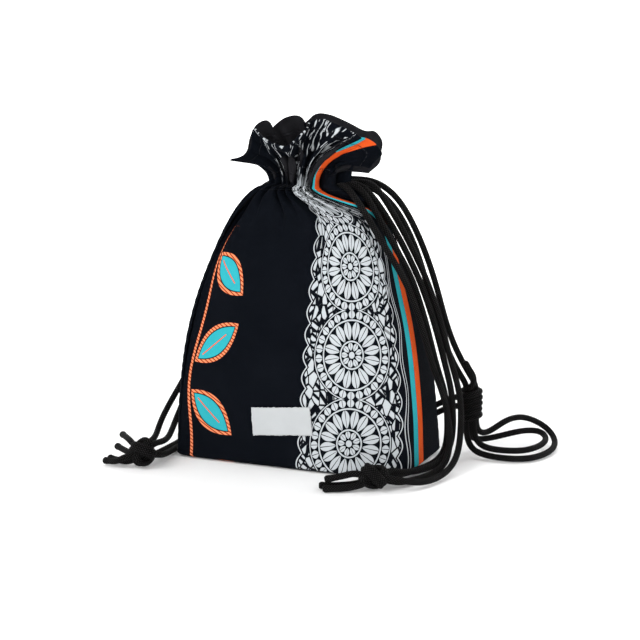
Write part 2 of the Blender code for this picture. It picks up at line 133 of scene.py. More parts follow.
def smooth_line(places, spacing, passes=24):
    """Evenly spaced points, in metres, along a smooth curve through places in millimetres."""
    held = np.array([places[0], *places, places[-1]], float) * 0.001
    held[0] = 2 * held[1] - held[2]
    held[-1] = 2 * held[-2] - held[-3]
    share = np.linspace(0, 1, CURVE_STEPS, endpoint=False)[:, None]
    drawn = [0.5 * (2 * b + (c - a) * share + (2 * a - 5 * b + 4 * c - d) * share ** 2
                    + (3 * b - 3 * c + d - a) * share ** 3)
             for a, b, c, d in zip(held, held[1:], held[2:], held[3:])]
    line = np.concatenate([*drawn, held[-2:-1]])
    for _ in range(passes):
        line[1:-1] = line[1:-1] * 0.5 + (line[:-2] + line[2:]) * 0.25
    walked = np.concatenate([[0], np.cumsum(np.linalg.norm(np.diff(line, axis=0), axis=1))])
    stops = np.linspace(0, walked[-1], max(3, round(walked[-1] / spacing)) + 1)
    return np.stack([np.interp(stops, walked, line[:, axis]) for axis in range(3)], axis=1)


def add_piece(name, bm, *finishes):
    """Puts a finished mesh into the scene, on the root body, with its materials."""
    mesh = bpy.data.meshes.new(name)
    bm.to_mesh(mesh)
    bm.free()
    for finish in finishes:
        mesh.materials.append(finish)
    mesh.shade_smooth()
    piece = bpy.data.objects.new(name, mesh)
    scene.collection.objects.link(piece)
    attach(piece, "root")
    return piece


def draw_tube(bm, line, radius, sides=TUBE_SIDES, swell=None):
    """Draws a ring of the given radius along a line, closes both ends and lays its UV in metres."""
    along = bm.loops.layers.uv.verify()
    place = bm.verts.layers.int.get("place") or bm.verts.layers.int.new("place")
    side = bm.verts.layers.int.get("side") or bm.verts.layers.int.new("side")
    ways = np.gradient(line, axis=0)
    ways /= np.linalg.norm(ways, axis=1)[:, None]
    walked = np.concatenate([[0], np.cumsum(np.linalg.norm(np.diff(line, axis=0), axis=1))])
    way = Vector(ways[0])
    turn = way.to_track_quat("Z", "X").to_matrix()
    made = bmesh.ops.create_circle(bm, segments=sides, radius=radius)["verts"]
    ring_edges = list({edge for vert in made for edge in vert.link_edges})
    for number, vert in enumerate(made):
        vert[side] = number
    spots = {vert[side]: vert.co.copy() for vert in made}
    fresh = set()
    first = ring_edges
    for step, (spot, ahead) in enumerate(zip(line, ways)):
        ahead = Vector(ahead)
        turn = way.rotation_difference(ahead).to_matrix() @ turn
        way = ahead
        if step:
            grown = bmesh.ops.extrude_edge_only(bm, edges=ring_edges)["geom"]
            made = [item for item in grown if isinstance(item, bmesh.types.BMVert)]
            ring_edges = [item for item in grown if isinstance(item, bmesh.types.BMEdge)]
            fresh.update(item for item in grown if isinstance(item, bmesh.types.BMFace))
        wide = swell[step] if swell is not None else 1.0
        for vert in made:
            vert[place] = step
            vert.co = Vector(spot) + turn @ (spots[vert[side]] * wide)
    caps = bmesh.ops.holes_fill(bm, edges=[*first, *ring_edges], sides=sides)["faces"]
    for face in fresh:
        numbers = [loop.vert[side] for loop in face.loops]
        for loop in face.loops:
            number = loop.vert[side]
            if number == 0 and max(numbers) == sides - 1:
                number = sides
            loop[along].uv = (walked[loop.vert[place]], number / sides)
    for face in caps:
        for loop in face.loops:
            loop[along].uv = (walked[loop.vert[place]], 0.5)
    bmesh.ops.recalc_face_normals(bm, faces=[*fresh, *caps])


def work(tree, operation, *values):
    """One sum in a material: numbers are typed in and sockets are linked."""
    node = tree.nodes.new("ShaderNodeMath")
    node.operation = operation
    for socket, value in zip(node.inputs, values):
        if isinstance(value, (int, float)):
            socket.default_value = value
        else:
            tree.links.new(value, socket)
    return node.outputs[0]


def new_group(name, inputs, outputs):
    """An empty group with plain number inputs and outputs, and its two end nodes."""
    group = bpy.data.node_groups.new(name, "ShaderNodeTree")
    for title, kind, value in inputs:
        socket = group.interface.new_socket(title, in_out="INPUT", socket_type=kind)
        if value is not None:
            socket.default_value = value
    for title in outputs:
        group.interface.new_socket(title, in_out="OUTPUT", socket_type="NodeSocketFloat")
    return group, group.nodes.new("NodeGroupInput").outputs, group.nodes.new("NodeGroupOutput").inputs


def use_group(tree, group, **values):
    """Places a group in a material and fills its inputs, whose spaces are written as _."""
    node = tree.nodes.new("ShaderNodeGroup")
    node.node_tree = group
    for title, value in values.items():
        socket = node.inputs[title.replace("_", " ")]
        if isinstance(value, (int, float)):
            socket.default_value = value
        else:
            tree.links.new(value, socket)
    return node.outputs


def blend_colour(tree, share, first, second):
    """A colour between two, which are colours or sockets."""
    node = tree.nodes.new("ShaderNodeMix")
    node.data_type = "RGBA"
    for socket, value in ((node.inputs[0], share), (node.inputs[6], first), (node.inputs[7], second)):
        if isinstance(value, tuple):
            socket.default_value = (*value, 1.0)
        elif isinstance(value, (int, float)):
            socket.default_value = value
        else:
            tree.links.new(value, socket)
    return node.outputs[2]


def raised(tree, height, depth, under=None):
    """A bump of a depth in metres, on top of another if one is given."""
    node = tree.nodes.new("ShaderNodeBump")
    node.inputs["Strength"].default_value = 1.0
    node.inputs["Distance"].default_value = depth
    tree.links.new(height, node.inputs["Height"])
    if under is not None:
        tree.links.new(under, node.inputs["Normal"])
    return node.outputs[0]


def places_on(tree):
    """Where a place lies on its piece: along and across in the flat, and in the piece's own space."""
    split = tree.nodes.new("ShaderNodeSeparateXYZ")
    tree.links.new(tree.nodes.new("ShaderNodeUVMap").outputs[0], split.inputs[0])
    spot = tree.nodes.new("ShaderNodeTexCoord").outputs["Object"]
    return split.outputs[0], split.outputs[1], spot


# How little light the cloth and the cords throw back.
DULL = 0.02


def new_finish(name, roughness, sheen=0.0, sheen_roughness=0.5):
    """A material with its shader, and its colour and normal still open."""
    finish = bpy.data.materials.new(name)
    finish.use_nodes = True
    shader = finish.node_tree.nodes["Principled BSDF"]
    shader.inputs["Roughness"].default_value = roughness
    shader.inputs["Specular IOR Level"].default_value = DULL
    shader.inputs["Sheen Weight"].default_value = sheen
    shader.inputs["Sheen Roughness"].default_value = sheen_roughness
    return finish, finish.node_tree, shader.inputs


# Threads that cross on two slants, as braid and twill both show: two phases come in, and the
# height of the threads and a mask of the gaps between them go out; colours painted dark by that mask are
# painted shade.
crossed, phase, given = new_group(
    "crossed_threads",
    [("First", "NodeSocketFloat", 0.0),
     ("Second", "NodeSocketFloat", 0.0),
     ("Lean", "NodeSocketFloat", 0.5)],
    ["Height", "Gap Shade"])
one = work(crossed, "ABSOLUTE", work(crossed, "SINE", work(crossed, "MULTIPLY", phase["First"], math.pi)))
two = work(crossed, "ABSOLUTE", work(crossed, "SINE", work(crossed, "MULTIPLY", phase["Second"], math.pi)))
both = work(crossed, "MULTIPLY", work(crossed, "MULTIPLY", one, two), phase["Lean"])
single = work(crossed, "MULTIPLY", one, work(crossed, "SUBTRACT", 1.0, phase["Lean"]))
height = work(crossed, "ADD", both, single)
crossed.links.new(height, given["Height"])
crossed.links.new(work(crossed, "POWER", work(crossed, "SUBTRACT", 1.0, height), 4.0), given["Gap Shade"])

# Handling: broad patches where a surface is dustier or more rubbed, and fine fibres over them.
handled, phase, given = new_group(
    "handled_patches",
    [("Place", "NodeSocketVector", None),
     ("Size", "NodeSocketFloat", 30.0),
     ("Fibre", "NodeSocketFloat", 900.0)],
    ["Patch", "Fibre"])
for title, scale_by, detail in (("Patch", "Size", 3.0), ("Fibre", "Fibre", 2.0)):
    cloud = handled.nodes.new("ShaderNodeTexNoise")
    cloud.inputs["Detail"].default_value = detail
    handled.links.new(phase["Place"], cloud.inputs["Vector"])
    handled.links.new(phase[scale_by], cloud.inputs["Scale"])
    handled.links.new(cloud.outputs[0], given[title])

# The braid: its thread tops are painted greyer than the black gaps between them, as painted highlight and
# painted shade, and more so where they are rubbed.
braid, tree, shader = new_finish("braided_cord", 0.60, sheen=0.006, sheen_roughness=0.4)
u, v, spot = places_on(tree)
around = work(tree, "MULTIPLY", v, float(BRAID_STRANDS))
length = work(tree, "MULTIPLY", u, BRAID_STRANDS / BRAID_TURN)
threads = use_group(tree, crossed, First=work(tree, "ADD", around, length),
                    Second=work(tree, "SUBTRACT", around, length), Lean=0.8)
rubbed = use_group(tree, handled, Place=spot, Size=60.0, Fibre=2200.0)
# The tone is a painted highlight on the thread crowns, scaled by the rubbed patches and fibres.
tone = work(tree, "POWER", threads["Height"], 3.5)
tone = work(tree, "MULTIPLY", tone, work(tree, "ADD", rubbed["Patch"], rubbed["Fibre"]))
tone = work(tree, "MULTIPLY", tone, 0.62)
tree.links.new(blend_colour(tree, tone, BRAID_BLACK, BRAID_HIGHLIGHT_AND_WEAR), shader["Base Color"])
tree.links.new(raised(tree, threads["Height"], BRAID_RELIEF), shader["Normal"])

CORD_FACTS = {
    "right_cord_1": {"nodes": ["cord_right_1"], "knot": "right_knot"},
    "right_cord_2": {"nodes": ["cord_right_2"], "knot": "right_knot"},
    "right_cord_3": {"nodes": ["cord_right_3"], "knot": "right_knot"},
    "right_cord_4": {"nodes": ["cord_right_4"], "knot": "right_knot"},
    "strap_strand_a": {"nodes": ["strap_upper_a", "strap_loop_a"], "knot": None},
    "strap_strand_b": {"nodes": ["strap_upper_b", "strap_loop_b"], "knot": None},
    "link_strand_a": {"nodes": ["strap_link_a"], "knot": "left_knot"},
    "link_strand_b": {"nodes": ["strap_link_b"], "knot": "left_knot"},
    "left_cord_1": {"nodes": ["cord_left_1"], "knot": "left_knot"},
    "left_cord_2": {"nodes": ["cord_left_2"], "knot": "left_knot"},
}
cord_lines = {}
for name, route in ROUTES.items():
    line = smooth_line(route, CORD_STEP, passes=CORD_EASE)
    line[:, 2] = np.maximum(line[:, 2], CORD / 2)
    bm = bmesh.new()
    draw_tube(bm, line, CORD / 2)
    add_piece(name, bm, braid)
    cord_lines[name] = line
    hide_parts(*CORD_FACTS[name]["nodes"])


# Knots. Each bundle of cords is tied in one overhand knot and drawn tight, so that doubled
# turns of the cord cross over one another in a ball. The ends are cut and singed beyond it.
KNOTS = {
    "right_knot": {"node": "knot_right", "at": (0.0850, -0.0770, 0.0102),
                   "size": (0.0205, 0.0215, 0.0220), "turn": 196.0, "tip": 76.0},
    "left_knot": {"node": "knot_left", "at": (-0.1025, -0.0910, 0.0124),
                  "size": (0.0246, 0.0220, 0.0200), "turn": 38.0, "tip": 76.0},
}
KNOT_STRAND = 0.0023
KNOT_SPREAD = 0.0019
KNOT_BULGE = 0.40
OVER_TABLE = 0.0004
TAIL_STEP = 0.0012
SINGED_END = (1.0, 1.05, 1.12, 1.16, 1.10, 0.72)


def knot_turns(size, spread):
    """The closed line of an overhand knot, shifted sideways, and scaled to fill a size."""
    turn = np.linspace(0, 2 * np.pi, 180)
    out = 1.0 + KNOT_BULGE * np.cos(3 * turn)
    line = np.stack([out * np.cos(2 * turn), out * np.sin(2 * turn), np.sin(3 * turn)], axis=1)
    line /= np.abs(line).max(axis=0)
    room = np.array(size) / 2 - KNOT_STRAND
    line = line * (room - KNOT_SPREAD * 0.6)
    ways = np.gradient(line, axis=0)
    ways /= np.linalg.norm(ways, axis=1)[:, None]
    outward = line / np.linalg.norm(line, axis=1)[:, None]
    return line + np.cross(ways, outward) * spread


def swollen(line, end):
    """How wide a cord is along a line, whose last few steps swell as given."""
    swell = np.ones(len(line))
    swell[-len(end):] = end
    return swell


def rest_on_table(bm):
    """Presses flat what would lie lower than the table."""
    for vert in bm.verts:
        vert.co.z = max(vert.co.z, OVER_TABLE)


knots = {}
for name, facts in KNOTS.items():
    bm = bmesh.new()
    for spread in (-KNOT_SPREAD, KNOT_SPREAD):
        draw_tube(bm, knot_turns(facts["size"], spread), KNOT_STRAND)
    turned = Matrix.Rotation(math.radians(facts["turn"]), 3, "Z")
    tipped = turned @ Matrix.Rotation(math.radians(facts["tip"]), 3, "Y")
    bmesh.ops.rotate(bm, verts=bm.verts, matrix=tipped)
    bmesh.ops.translate(bm, verts=bm.verts, vec=facts["at"])
    rest_on_table(bm)
    knots[name] = add_piece(name, bm, braid)
    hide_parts(facts["node"])

# The cut ends beyond the knots: the node of each and its places. It swells where it was singed.
TAILS = {
    "right_tail_1": (
        "tail_right_1", [(82, -81, 7), (76, -86, 4.5), (66, -91.5, 2.8), (53, -98, 2.7)]),
    "right_tail_2": (
        "tail_right_2", [(80, -77.5, 7), (73, -79, 4.2), (63, -83.5, 2.8), (47, -91, 2.7)]),
    "right_tail_3": (
        "tail_right_3", [(80, -79.5, 11), (72, -83, 12.5), (65, -86.5, 11), (52, -92, 8)]),
    "left_tail_1": (
        "tail_left_1", [(-107, -90, 13), (-113, -88, 17), (-121, -82, 19), (-135, -68, 18)]),
    "left_tail_2": (
        "tail_left_2", [(-107, -90, 10), (-115, -88, 9.5), (-124, -82, 9), (-138, -72, 9)]),
    "left_tail_3": (
        "tail_left_3", [(-107, -92, 8), (-114, -92, 4), (-122, -90.5, 3), (-137, -86, 2.8)]),
    "left_tail_4": (
        "tail_left_4", [(-107, -95, 10), (-114, -99, 9), (-122, -99.5, 5), (-135, -96, 3.4)]),
}
tails = {}
for name, (node, route) in TAILS.items():
    line = smooth_line(route, TAIL_STEP)
    bm = bmesh.new()
    draw_tube(bm, line, CORD / 2, swell=swollen(line, SINGED_END))
    rest_on_table(bm)
    tails[name] = add_piece(name, bm, braid)
    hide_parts(node)

# For each cord, its line, its side, and the knot and tails on its far end are looked up; nothing more is
# done with them.
for name, facts in CORD_FACTS.items():
    line = cord_lines[name]
    side = name.split("_")[0]
    with_it = [knots[facts["knot"]]] if facts["knot"] else []
    if name in ("right_cord_1", "left_cord_1"):
        with_it += [tail for title, tail in tails.items() if title.startswith(side)]


# Hank. The strap is folded in loops, and a spare end of cord is wound round them five times
# and left standing up beside them.
WRAP_AT = (0.1210, 0.0510, 0.0415)
WRAP_RADIUS = 0.0070
WRAP_TURNS = 5
WRAP_POINTS = 24
WRAP_RISE = 0.00475
WRAP_START = -2.3
WRAP_WOBBLE = 0.035
WRAP_SLANT, WRAP_SHIFT = 0.10, 0.0004
WRAP_CORD = CORD * 0.98
WRAP_STEP = 0.0015
WRAP_END = (1.0, 1.06, 1.14, 1.10, 0.75)
steps = np.linspace(0, 1, WRAP_TURNS * WRAP_POINTS + 1)
angle = steps * WRAP_TURNS * 2 * np.pi + WRAP_START
wound = np.stack([WRAP_RADIUS * (1 + WRAP_WOBBLE * np.sin(steps * 19)) * np.cos(angle),
                  WRAP_RADIUS * (1 + WRAP_WOBBLE * np.cos(steps * 23)) * np.sin(angle),
                  (steps - 0.5) * WRAP_TURNS * WRAP_RISE], axis=1)
wound[:, 2] += WRAP_SLANT * wound[:, 0] + WRAP_SHIFT * np.sin(steps * 31)
wound = (wound + WRAP_AT) * 1000
standing = [(123, 44.5, 57), (124.5, 44.5, 64), (121.5, 43.5, 70), (117, 42.5, 77)]
line = smooth_line([*wound[:-2:3].tolist(), *standing], WRAP_STEP)
bm = bmesh.new()
draw_tube(bm, line, WRAP_CORD / 2, swell=swollen(line, WRAP_END))
hank = add_piece("hank_turns", bm, braid)
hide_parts("hank_wrap", "hank_tail")


# Cloth panels. Two panels of lined twill, sewn to each other up two opposite corners and to a
# flat base round their foot. The body is filled, the cords in their channel draw the neck into
# tight pleats, and the free cloth above it opens in a ruffle that folds over at the sides.
BAG_WIDTH, BAG_DEPTH = 0.1950, 0.1070
NECK_HEIGHT, NECK_WIDTH, NECK_DEPTH = 0.2190, 0.0700, 0.0430
SHOULDER_LEAN = -0.0022
BOTTOM_ROUND, FOOT_LIFT = 0.0040, 0.0006
CORNER_SHARP, CORNER_SOFT = 16.0, 3.6
SHOULDER_START, SHOULDER_FALL = 1.75, 0.60
CLOTH = 0.0014
CORD_BAND = 0.0090
PLEATS, PLEAT_DEPTH, PLEAT_REACH = 9, 0.0125, 0.017
FOLDS, FOLD_DEPTH, FOLD_REACH, FOLD_START = 3, 0.0085, 0.060, 0.012
DENT_DEPTH, DENT_SIZE, DENT_FADE = 0.0030, 15.0, 0.03
CREASE_DEPTH = 0.0036
CRUMPLE_DEPTH, CRUMPLE_SIZE = 0.0052, 65.0
SEAM_PINCH, SEAM_SINK, PUCKER_DEPTH, PUCKER_LENGTH = 0.010, 0.0008, 0.00028, 0.0013
SEAM_LEFT = math.radians(225)
PANEL_WIDTH, PANEL_HEIGHT = 0.302, 0.270
PANEL_COLUMNS = 264
FOOT_ROWS, WALL_ROWS, RUFFLE_ROWS = 6, 92, 47
RING_POINTS = 2881
HEM_STEP = 0.0008

# How far along the outline each part of the cloth ends up at the neck, and along its hem the
# front panel's: the printed middle is bunched to the front, and spreads out again above.
NECK_GATHER = ((0.0, 0.0), (0.47, 0.25), (0.74, 0.39), (0.83, 0.405), (0.87, 0.43), (0.91, 0.452),
               (1.0, 0.54), (2.0, 2.0))
HEM_GATHER = ((0.0, 0.0), (0.25, 0.19), (0.74, 0.72), (0.852, 0.738), (0.894, 0.778), (0.936, 0.81),
              (1.0, 1.0))
GATHER_REACH = 0.016

# The hem of each panel above the neck, in millimetres: right across the view, out towards it,
# and up. The front hem makes the cup in the middle and the lobe at the right.
VIEW_TURN = math.radians(23)
FRONT_HEM = [(-62, 2, 237), (-51, 9, 240), (-45, 12, 247), (-43.5, 13, 262), (-37.5, 19, 257),
             (-29, 25, 251.5), (-19, 28, 248.5), (-10, 27, 253), (-3, 21, 261), (2.5, 12, 268),
             (8.5, 16, 269.5), (18, 22, 267.5), (27, 26, 263), (35.5, 27, 258.5), (41, 24, 255),
             (48, 15, 253), (57, 6, 243), (50.5, 0, 235), (46.5, -4, 227)]
BACK_HEM = [(46.5, -4, 227), (58, -11, 241), (54, -20, 258), (45.5, -24, 258), (34.5, -26, 263.5),
            (21.5, -26, 270), (8.5, -25, 273.5), (0.5, -19, 270), (-3.5, -9, 264.5), (-6, -14, 271),
            (-15.5, -20, 271.5), (-26, -18, 266), (-29.5, -9, 258), (-32.5, -5, 268.5),
            (-43.5, -3, 263), (-49, -6, 244), (-56, -4, 239), (-62, 2, 237)]


def blend_line(places, shares):
    """The points, in metres, at shares of a smooth open line through places in millimetres."""
    line = smooth_line(places, HEM_STEP)
    stops = shares * (len(line) - 1)
    return np.stack([np.interp(stops, np.arange(len(line)), line[:, axis]) for axis in range(3)], axis=1)


def fullness(z):
    """How full the pouch is at a height: 1 at its foot and 0 at its drawn neck."""
    drawn = min(max(z / NECK_HEIGHT, 0.0), 1.0)
    return (1.0 - drawn ** SHOULDER_START) ** SHOULDER_FALL


def wall_ring(shares, z, inset):
    """The pouch's outline at a height, at shares that count 1 from one seam to the other."""
    angle = SEAM_LEFT + np.linspace(0, 2 * np.pi, RING_POINTS)
    full = fullness(z)
    half_width = (NECK_WIDTH + (BAG_WIDTH - NECK_WIDTH) * full) / 2 - inset
    half_depth = (NECK_DEPTH + (BAG_DEPTH - NECK_DEPTH) * full) / 2 - inset
    power = CORNER_SOFT + (CORNER_SHARP - CORNER_SOFT) * (0.5 + 0.5 * np.sin(2 * angle))
    power = power + (2.0 - power) * (1.0 - full)
    reach = (np.abs(np.cos(angle)) ** power + np.abs(np.sin(angle)) ** power) ** (-1.0 / power)
    lean = SHOULDER_LEAN * math.sin(math.pi * min(max(z, 0.0) / NECK_HEIGHT, 1.0))
    line = np.stack([half_width * np.cos(angle) * reach + lean, half_depth * np.sin(angle) * reach,
                     np.full_like(angle, z)], axis=1)
    walked = np.concatenate([[0], np.cumsum(np.linalg.norm(np.diff(line, axis=0), axis=1))])
    stops = shares * walked[-1] / 2
    return np.stack([np.interp(stops, walked, line[:, axis]) for axis in range(3)], axis=1)


def gathered(shares, below):
    """The shares along the outline that the cloth has slid to, at a depth below the cords."""
    slid = np.interp(shares, *zip(*NECK_GATHER))
    return shares + (slid - shares) * math.exp(-(below / GATHER_REACH) ** 2)


def pleats(across, number, shift):
    """Rounded ridges with sharp valleys between them, from 0 in a ridge to -1 in a valley."""
    uneven = across + 0.026 * np.sin(across * 17.0 + shift) + 0.012 * np.sin(across * 41.0 + 2 * shift)
    return np.abs(np.cos(np.pi * number * uneven + shift)) ** 0.75 - 1.0


def outward(row):
    """The level directions that point out of the cloth along one of its rows."""
    ahead = np.gradient(row, axis=0)
    out = np.stack([ahead[:, 1], -ahead[:, 0], np.zeros(len(row))], axis=1)
    return out / (np.linalg.norm(out, axis=1)[:, None] + 1e-9)


def panel_places(first, hem, hem_shares, shift):
    """The places of one panel's cloth, row by row from the seam of its foot to the hem."""
    across = np.linspace(0, 1, PANEL_COLUMNS + 1)
    shares = first + across
    rows = []
    for turn in np.linspace(0, np.pi / 2, FOOT_ROWS + 1)[:-1]:
        inner = wall_ring(shares, BOTTOM_ROUND, BOTTOM_ROUND)
        outer = wall_ring(shares, BOTTOM_ROUND, 0.0)
        row = inner + (outer - inner) * math.sin(turn)
        row[:, 2] = BOTTOM_ROUND * (1 - math.cos(turn)) + FOOT_LIFT * math.cos(turn)
        rows.append(row)
    for z in BOTTOM_ROUND + (NECK_HEIGHT - BOTTOM_ROUND) * np.linspace(0, 1, WALL_ROWS) ** 0.9:
        below = NECK_HEIGHT - float(z)
        row = wall_ring(gathered(shares, below), float(z), 0.0)
        reach = PLEAT_REACH * (1 + 0.60 * np.sin(across * 23.0 + shift) * np.sin(across * 8.3 + 1.0))
        tight = PLEAT_DEPTH * pleats(across, PLEATS, shift) * np.exp(-(below / reach) ** 1.25)
        broad_reach = FOLD_REACH * (1 + 0.55 * np.sin(across * 13.0 + 2.2 * shift))
        broad = FOLD_DEPTH * pleats(across + 0.10 * np.sin(across * 9.0), FOLDS, shift + 0.6)
        broad *= np.exp(-(below / broad_reach) ** 1.6) * (1 - math.exp(-(below / FOLD_START) ** 2))
        away = Vector((3.1, 0, shift))
        dent = np.array([noise.noise(Vector(spot) * DENT_SIZE + away) for spot in row])
        dent = dent * DENT_DEPTH * min(1.0, z / DENT_FADE) * min(1.0, below / DENT_FADE)
        pinch = np.exp(-np.minimum(across, 1 - across) * PANEL_WIDTH / SEAM_PINCH)
        ripple = math.sin(z / PUCKER_LENGTH + 2 * math.sin(z * 90))
        pucker = pinch * (PUCKER_DEPTH * ripple - SEAM_SINK)
        rows.append(row + outward(row) * (tight + broad + dent + pucker)[:, None])
    drawn = rows[-1]
    top = blend_line(hem, hem_shares)
    reach = np.linalg.norm(top - drawn, axis=1)[:, None]
    up = np.array([0, 0, 1.0])
    low = drawn + up * (CORD_BAND * 0.5 + reach * 0.30)
    high = drawn + (top - drawn) * 0.62 + up * reach * 0.10
    for share in np.linspace(0, 1, RUFFLE_ROWS)[1:]:
        rest = 1 - share
        row = rest ** 3 * drawn + 3 * share * rest ** 2 * low
        row = row + 3 * share ** 2 * rest * high + share ** 3 * top
        crease = CREASE_DEPTH * pleats(across, PLEATS, shift + 1.9) * math.sin(math.pi * share) ** 1.5
        away = Vector((0, shift, 7.3))
        crumple = np.array([noise.noise(Vector(spot) * CRUMPLE_SIZE + away) for spot in row])
        rows.append(row + outward(row) * (crease + CRUMPLE_DEPTH * crumple * share)[:, None])
    return np.array(rows)


def turn_hem(hem):
    """A hem given across, towards and above the view, turned into the pouch's own frame."""
    c, s = math.cos(VIEW_TURN), math.sin(VIEW_TURN)
    return [(u * c + w * s, u * s - w * c, z) for u, w, z in hem]


def row_heights(places):
    """How far up its flat cloth each row of a panel lies, in metres."""
    steps = np.linalg.norm(np.diff(places, axis=0), axis=2).mean(axis=1)
    return np.concatenate([[0], np.cumsum(steps)])


def sew_panel(name, places, finish, lining):
    """One panel: a flat grid laid onto its places, with its UV in metres of flat cloth."""
    last = len(places) - 1
    height = row_heights(places)
    bm = bmesh.new()
    flat = bm.loops.layers.uv.verify()
    bmesh.ops.create_grid(bm, x_segments=PANEL_COLUMNS, y_segments=last, size=0.5)
    for vert in bm.verts:
        column = round((vert.co.x + 0.5) * PANEL_COLUMNS)
        row = round((vert.co.y + 0.5) * last)
        for loop in vert.link_loops:
            loop[flat].uv = (column / PANEL_COLUMNS * PANEL_WIDTH, height[row])
        vert.co = Vector(places[row, column])
    panel = add_piece(name, bm, finish, lining)
    doubled = panel.modifiers.new("lined", "SOLIDIFY")
    doubled.thickness = CLOTH
    doubled.offset = -1.0
    doubled.material_offset = 1
    doubled.material_offset_rim = 0
    return panel


columns = np.linspace(0, 1, PANEL_COLUMNS + 1)
front_places = panel_places(0.0, turn_hem(FRONT_HEM), np.interp(columns, *zip(*HEM_GATHER)), 0.4)
back_places = panel_places(1.0, turn_hem(BACK_HEM), columns, 2.1)
front_rows = row_heights(front_places)
NECK_LINE = front_rows[FOOT_ROWS + WALL_ROWS - 1]
HEM_LINE = front_rows[-1]
SEWN_OFF = 0.010
SEWN = (NECK_LINE - SEWN_OFF, NECK_LINE + SEWN_OFF, HEM_LINE - SEWN_OFF)

# Cloth colours: the dark of each cloth, and the lighter colour of its rib tops, which is a painted
# highlight that shows in rubbed patches.
NAVY = (0.0014, 0.0022, 0.0040)
NAVY_HIGHLIGHT_AND_WEAR = (0.0076, 0.0092, 0.0130)
LINING = (0.0085, 0.0085, 0.0100)
LINING_HIGHLIGHT_AND_WEAR = (0.024, 0.024, 0.027)
THREAD = (0.020, 0.021, 0.024)
WHITE_INK = (0.56, 0.595, 0.62)
TURQUOISE = (0.034, 0.410, 0.470)
ORANGE = (0.800, 0.105, 0.020)
ROPE_DARK = (0.330, 0.040, 0.014)
ROPE_LIGHT = (0.930, 0.290, 0.130)
INKS = (WHITE_INK, TURQUOISE, ORANGE, ROPE_DARK, ROPE_LIGHT)
TWILL = 0.00055
TWILL_RELIEF = 0.00012
STITCH, STITCH_LINE, STITCH_BED = 0.0028, (0.0012, 0.0018), (0.0008, 0.0022)
FOLD_EDGE, FOLD_RELIEF = 0.0003, 0.0005


def twill_finish(name, dark, highlight_and_wear, stitched, printed):
    """Twill with its slanting ribs, whose tops are painted lighter as a painted highlight in rubbed
    patches, and stitch lines, printed if it is an outside.
    """
    finish, tree, shader = new_finish(name, 0.85, sheen=0.001, sheen_roughness=0.35)
    u, v, spot = places_on(tree)
    rise = work(tree, "DIVIDE", work(tree, "ADD", u, v), TWILL)
    fall = work(tree, "DIVIDE", work(tree, "SUBTRACT", u, v), TWILL * 0.6)
    threads = use_group(tree, crossed, First=rise, Second=fall, Lean=0.35)
    rubbed = use_group(tree, handled, Place=spot, Size=26.0, Fibre=1500.0)
    # Rib tops are painted lighter where the rubbed patches are strong, a painted highlight, with fine
    # fibre flecks over it.
    tone = work(tree, "MULTIPLY", threads["Height"], work(tree, "POWER", rubbed["Patch"], 1.5))
    tone = work(tree, "ADD", tone, work(tree, "MULTIPLY", rubbed["Fibre"], 0.25))
    colour = blend_colour(tree, tone, dark, highlight_and_wear)
    if printed:
        for mask, ink in zip(printed(tree, u, v), INKS):
            colour = blend_colour(tree, mask, colour, ink)
        # Printed ink is painted back towards the dark cloth in the gaps between threads, as painted shade.
        ink_gap_shade = work(tree, "MULTIPLY", threads["Gap Shade"], 0.35)
        colour = blend_colour(tree, ink_gap_shade, colour, dark)
    folded = 0.0
    for line in stitched:
        folded = work(tree, "ADD", over(tree, v, line, FOLD_EDGE), folded)
        beat = work(tree, "SINE", work(tree, "MULTIPLY", u, 2 * math.pi / STITCH))
        dash = over(tree, beat, -0.3, 0.3)
        sewn = between(tree, v, line + STITCH_LINE[0], line + STITCH_LINE[1])
        seen = work(tree, "MULTIPLY", sewn, dash)
        colour = blend_colour(tree, seen, colour, THREAD)
        pressed = between(tree, v, line + STITCH_BED[0], line + STITCH_BED[1], 0.0004)
        folded = work(tree, "SUBTRACT", folded, pressed)
    tree.links.new(colour, shader["Base Color"])
    ribs = raised(tree, threads["Height"], TWILL_RELIEF)
    tree.links.new(raised(tree, folded, FOLD_RELIEF, ribs) if stitched else ribs, shader["Normal"])
    return finish


def over(tree, value, edge, soft=0.00012):
    """1 where a value in metres is over an edge, with an edge as soft as printed ink's."""
    past = work(tree, "DIVIDE", work(tree, "SUBTRACT", value, edge), soft * 2)
    return work(tree, "MINIMUM", work(tree, "MAXIMUM", work(tree, "ADD", past, 0.5), 0.0), 1.0)


def between(tree, value, low, high, soft=0.00012):
    """1 where a value in metres is between two edges."""
    under = work(tree, "SUBTRACT", 1.0, over(tree, value, high, soft))
    return work(tree, "MULTIPLY", over(tree, value, low, soft), under)


def sums(tree, *kinds):
    """One short function for each kind of sum that a part of a material needs often."""
    return [lambda *values, kind=kind: work(tree, kind, *values) for kind in kinds]


def texture(tree, kind, scale, place):
    """A texture without a picture, of a given fineness, at a place."""
    node = tree.nodes.new(kind)
    node.inputs["Scale"].default_value = scale
    tree.links.new(place, node.inputs["Vector"])
    return node


